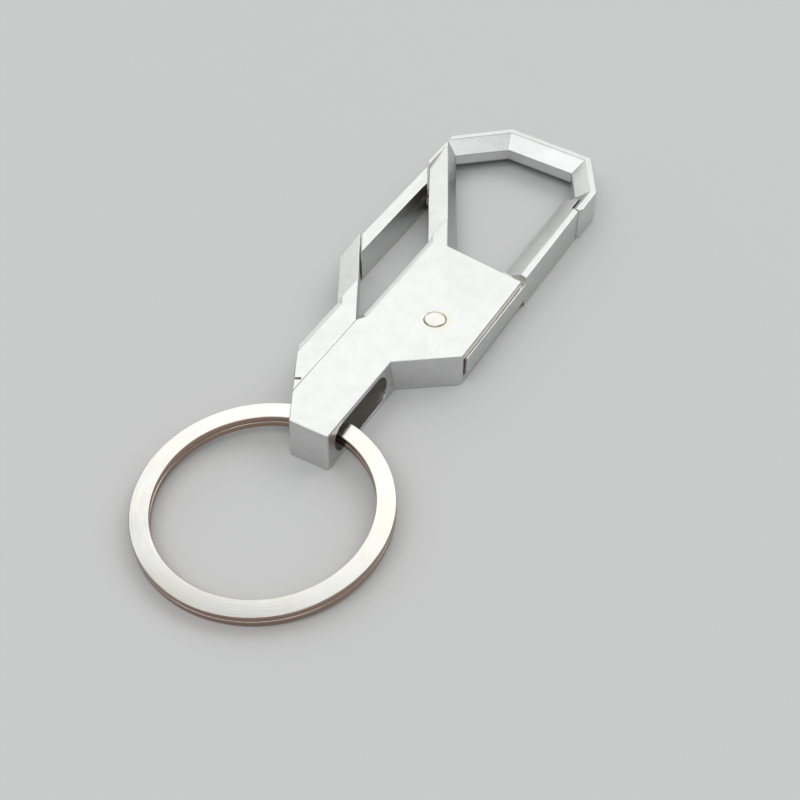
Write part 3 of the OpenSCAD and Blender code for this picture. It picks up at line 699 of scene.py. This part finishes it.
armPin = {"centre": (-7.8, -7.2), "radius": 0.75, "low": 0.0, "high": 4.5, "chamfer": 0.12}
gatePin = {"centre": (-15.0891, 28.6858), "radius": 0.65, "low": 0.3, "high": 4.5, "chamfer": 0.12}


def pinProfile(values):
    radius, low, high, chamfer = values["radius"], values["low"], values["high"], values["chamfer"]
    return [(profileTip, low), (radius - chamfer, low), (radius, low + chamfer),
            (radius, high - chamfer), (radius - chamfer, high), (profileTip, high)]


lathePiece("sideArmPin", "side_arm_pin", "pin", armPin["centre"], pinProfile(armPin))
lathePiece("sideGatePin", "side_gate_pin", "pin", gatePin["centre"], pinProfile(gatePin))
print("rivet and pins turned")


def tangentAt(path, i):
    return (path[min(i + 1, len(path) - 1)] - path[max(i - 1, 0)]).normalized()


def wirePiece(name, node, body, path, radius, up, around=12):
    # a round wire along a path in millimetres, with flat cut ends
    points, marks = [], []
    travelled = 0.0
    for i, middle in enumerate(path):
        along = tangentAt(path, i)
        across = along.cross(up).normalized()
        over = across.cross(along)
        travelled += (middle - path[max(i - 1, 0)]).length
        for k in range(around):
            turn = math.tau * k / around
            points.append((middle + radius * (math.cos(turn) * across + math.sin(turn) * over)) * mm)
            marks.append(travelled * mm)
    faces = sleeve(len(path), around) + cutEnds(len(path), around)
    return settle(name, newMesh(name, points, faces, {"lathe": marks}), node, body, "spring")


gateSpring = {
    "seat": (-6.7, 4.26244, 2.7), "wire": 0.4, "coilRadius": 1.1, "length": 4.7, "turns": 4.5,
    "steps": 32,  # points in each turn
}


def gateSpringPath(values):
    steps = int(values["turns"] * values["steps"])
    rise = values["length"] - values["wire"]
    path = []
    for i in range(steps + 1):
        turn = math.tau * i / values["steps"]
        path.append(Vector(values["seat"]) + Vector((
            values["wire"] / 2 + rise * i / steps,
            values["coilRadius"] * math.cos(turn), values["coilRadius"] * math.sin(turn))))
    return path


mainSpring = wirePiece(
    "mainGateSpring", "gate_spring", "body", gateSpringPath(gateSpring), gateSpring["wire"] / 2,
    Vector((1, 0, 0)))
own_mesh(mainSpring)

barSpring = {
    "axis": (-15.0891, 28.6858), "coilRadius": 0.89, "low": 2.94, "pitch": 0.71, "turn": 390.0,
    "steps": 52, "legTip": (-16.3366, 26.0858), "legSteps": 6, "endLeg": 1.1, "endSteps": 4,
    "wire": 0.28, "around": 10, "legTop": 3.08, "limbLow": 3.56,
}


def barSpringPath(values):
    x, y = values["axis"]
    start = Vector((x - values["coilRadius"], y, values["low"]))
    tip = Vector((*values["legTip"], values["low"]))
    path = [tip.lerp(start, k / values["legSteps"]) for k in range(values["legSteps"])]
    for i in range(values["steps"] + 1):
        share = i / values["steps"]
        turn = math.radians(180 - values["turn"] * share)
        path.append(Vector((
            x + values["coilRadius"] * math.cos(turn), y + values["coilRadius"] * math.sin(turn),
            values["low"] + values["pitch"] * values["turn"] / 360 * share)))
    away = math.radians(90 - values["turn"])
    end = path[-1]
    for k in range(1, values["endSteps"] + 1):
        reach = values["endLeg"] * k / values["endSteps"]
        path.append(end + reach * Vector((math.cos(away), math.sin(away), 0)))
    return path


sideSpring = wirePiece(
    "sideGateSpring", "side_gate_spring", None, barSpringPath(barSpring), barSpring["wire"] / 2,
    Vector((0, 0, 1)), around=barSpring["around"])
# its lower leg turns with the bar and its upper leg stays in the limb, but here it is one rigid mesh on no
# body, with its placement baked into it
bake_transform(sideSpring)
print("springs wound")

ring = {
    "across": 3.44, "swingY": -22.95, "swingZ": 2.7, "fall": 3.22056, "swingIn": 0.6, "radius": 15.25,
    "wireWide": 2.5, "wireThick": 0.9, "corner": 0.13, "cornerSteps": 3, "sideFrom": 0.25,
    "climb": 1.0, "climbArc": 21.0, "endArc": 2.5, "lugAt": 94.6673, "steps": 420,
}


def flatSection(values):
    # the flat wire's outline with rounded corners, and how far each point is down its narrow sides
    wide, thick, corner = values["wireWide"] / 2, values["wireThick"] / 2, values["corner"]
    outline = []
    for sx, sy, first in ((1, 1, 0), (-1, 1, 90), (-1, -1, 180), (1, -1, 270)):
        for k in range(values["cornerSteps"] + 1):
            turn = math.radians(first + 90 * k / values["cornerSteps"])
            x = sx * (wide - corner) + corner * math.cos(turn)
            y = sy * (thick - corner) + corner * math.sin(turn)
            down = (abs(math.cos(turn)) - values["sideFrom"]) / (1 - values["sideFrom"])
            outline.append((x, y, max(0.0, down)))
    return outline


def ringMesh(name, values):
    outline = flatSection(values)
    sides, rings = len(outline), values["steps"] + 1
    start = values["climbArc"] + values["endArc"] - 360
    sweep = 720 - values["climbArc"] - 2 * values["endArc"]
    lie = (Matrix.Translation((-values["across"], values["swingY"], values["swingZ"]))
           @ Matrix.Rotation(math.radians(values["fall"]), 4, "X")
           @ Matrix.Translation((0, values["swingIn"] - values["radius"], 0)))
    points, side, along, across = [], [], [], []
    for i in range(rings):
        a = start + sweep * i / values["steps"]
        turn = math.radians(values["lugAt"] + a - values["climbArc"] / 2)
        share = min(max(a / values["climbArc"], 0), 1)
        height = values["climb"] * (share - 0.5)
        for x, y, down in outline:
            reach = values["radius"] + x
            points.append((lie @ Vector((reach * math.cos(turn), reach * math.sin(turn), y + height))) * mm)
            side.append(down)
            along.append(math.radians(a) * values["radius"] * mm)
            across.append(x + y)
    faces = sleeve(rings, sides) + cutEnds(rings, sides)
    return newMesh(name, points, faces, {"wireSide": side, "wireAlong": along, "wireAcross": across})


splitRing = settle("splitRing", ringMesh("splitRing", ring), "split_ring", "split_ring", "ring")
splitRing.modifiers.new("flat faces", "WEIGHTED_NORMAL").keep_sharp = True
print("split ring wound")

floorValues = {"half": 4.0, "colour": (0.63, 0.63, 0.63, 1.0), "rough": 0.9, "gloss": 0.2}


def paleFloor(values):
    half = values["half"]
    corners = [(-half, -half, 0), (half, -half, 0), (half, half, 0), (-half, half, 0)]
    mesh = bpy.data.meshes.new("floor")
    mesh.from_pydata(corners, [], [(0, 1, 2, 3)])
    floor = bpy.data.objects.new("floor", mesh)
    floor.location.z = cadBox[0][2]
    bpy.context.scene.collection.objects.link(floor)
    material = bpy.data.materials.new("pale floor")
    material.use_nodes = True
    shader = material.node_tree.nodes["Principled BSDF"].inputs
    shader["Base Color"].default_value = values["colour"]
    shader["Roughness"].default_value = values["rough"]
    shader["Specular IOR Level"].default_value = values["gloss"]
    mesh.materials.append(material)


# where each soft lamp stands and its size, in metres, and its power in watts
lamps = {
    "keyLamp": {"stand": (-0.16, 0.80, 0.92), "size": (1.45, 0.8), "power": 3.5},
    "sideLamp": {"stand": (0.42, 0.72, 0.80), "size": (0.5, 0.5), "power": 1.1},
    "windowLamp": {"stand": (-0.90, 0.64, 0.28), "size": (0.6, 0.55), "power": 0.62},
    "topLamp": {"stand": (0.05, -0.50, 0.94), "size": (1.5, 0.6), "power": 4.2},
}
lampAim = Vector((-3 * mm, 0, 0))


def softLamp(name, values):
    light = bpy.data.lights.new(name, "AREA")
    light.shape = "RECTANGLE"
    light.size, light.size_y = values["size"]
    light.energy = values["power"]
    lamp = bpy.data.objects.new(name, light)
    lamp.location = values["stand"]
    lamp.rotation_mode = "QUATERNION"
    lamp.rotation_quaternion = (lampAim - Vector(values["stand"])).to_track_quat("-Z", "Y")
    bpy.context.scene.collection.objects.link(lamp)


# a room that is lighter towards its window
roomValues = {
    "window": (-0.5, 0.86, 0.1), "dimAt": -0.5, "brightAt": 0.85,
    "dim": (0.38, 0.385, 0.39, 1.0), "bright": (0.62, 0.63, 0.62, 1.0),
}


def studioWorld(values):
    world = bpy.data.worlds.new("studio")
    bpy.context.scene.world = world
    world.use_nodes = True
    tree = world.node_tree
    tree.nodes.clear()
    way = place(tree, "ShaderNodeTexCoord").outputs["Generated"]
    facing = place(tree, "ShaderNodeVectorMath", {0: way, 1: values["window"]}, operation="DOT_PRODUCT")
    share = spread(tree, facing.outputs["Value"], values["dimAt"], values["brightAt"])
    tone = blendColour(tree, share, values["dim"], values["bright"])
    back = place(tree, "ShaderNodeBackground", {"Color": tone, "Strength": 1.0})
    out = place(tree, "ShaderNodeOutputWorld")
    tree.links.new(back.outputs[0], out.inputs["Surface"])


# where the photograph was taken from: its lens and place in millimetres, its angles in degrees
photoView = {
    "lens": 57.688, "sensor": 36.0, "nearest": 10,
    "stand": (61.972, -117.182, 124.437), "down": 45.5435, "turn": 29.968,
}


def photoCamera(values):
    data = bpy.data.cameras.new("camera")
    data.sensor_width = values["sensor"]
    data.lens = values["lens"]
    data.clip_start = values["nearest"] * mm
    camera = bpy.data.objects.new("camera", data)
    camera.location = Vector(values["stand"]) * mm
    camera.rotation_euler = (math.radians(90 - values["down"]), 0.0, math.radians(values["turn"]))
    bpy.context.scene.collection.objects.link(camera)
    bpy.context.scene.camera = camera


paleFloor(floorValues)
studioWorld(roomValues)
for lampName, lampValues in lamps.items():
    softLamp(lampName, lampValues)
photoCamera(photoView)
bpy.context.scene.view_settings.view_transform = "Standard"
print("stage, light and camera set")
